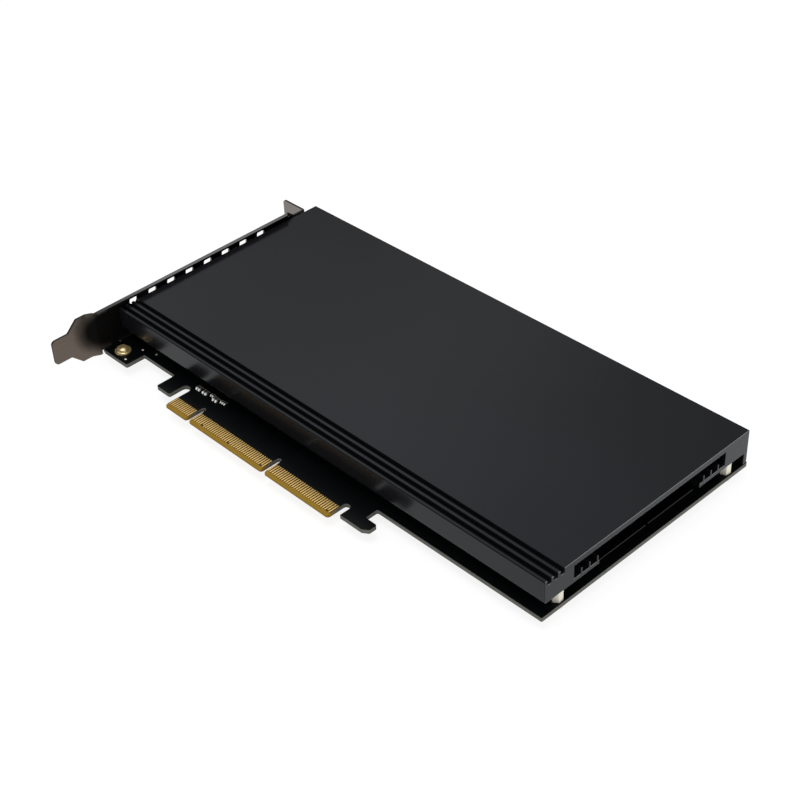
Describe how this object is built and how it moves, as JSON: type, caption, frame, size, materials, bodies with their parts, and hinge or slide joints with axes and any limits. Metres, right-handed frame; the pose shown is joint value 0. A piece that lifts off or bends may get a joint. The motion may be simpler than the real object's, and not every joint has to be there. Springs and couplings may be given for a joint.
{
  "type": "nvme adapter card",
  "caption": "Full-height PCI Express x16 add-in card that carries M.2 drives under one long grooved heatsink, with a vented steel bracket.",
  "frame": {"origin": "bottom centre of the card lying flat, component side up, at the lowest point of the bracket flange", "axes": "+X from the bracket to the tail along the card, +Y from the edge contacts to the card's top edge, +Z out of the component side"},
  "size_m": [0.2204, 0.1254, 0.0212],
  "materials": {
    "solder_mask": "satin",
    "gold": "polished",
    "black_anodised": "satin",
    "nickel": "satin",
    "bracket_steel": "satin",
    "brass_screw": "polished",
    "pad_grey": "matte",
    "socket_black": "matte",
    "chip_black": "matte",
    "choke_grey": "matte",
    "tin": "satin",
    "ceramic": "satin"
  },
  "bodies": {
    "root": {"circuit_board": "solder_mask", "front_contacts": "gold", "back_contacts": "gold", "heatsink": "black_anodised", "heatsink_posts": "nickel", "post_screws": "nickel", "thermal_pads": "pad_grey", "drive_sockets": "socket_black", "drive_studs": "nickel", "bracket": "bracket_steel", "bracket_screws": "brass_screw", "capacitor_bodies": "ceramic", "capacitor_ends": "tin", "supply_inductors": "choke_grey", "inductor_feet": "tin", "supply_chips": "chip_black", "bulk_capacitors": "ceramic", "bulk_capacitor_ends": "tin", "clock_buffer": "chip_black", "clock_pads": "tin"}
  },
  "joints": []
}
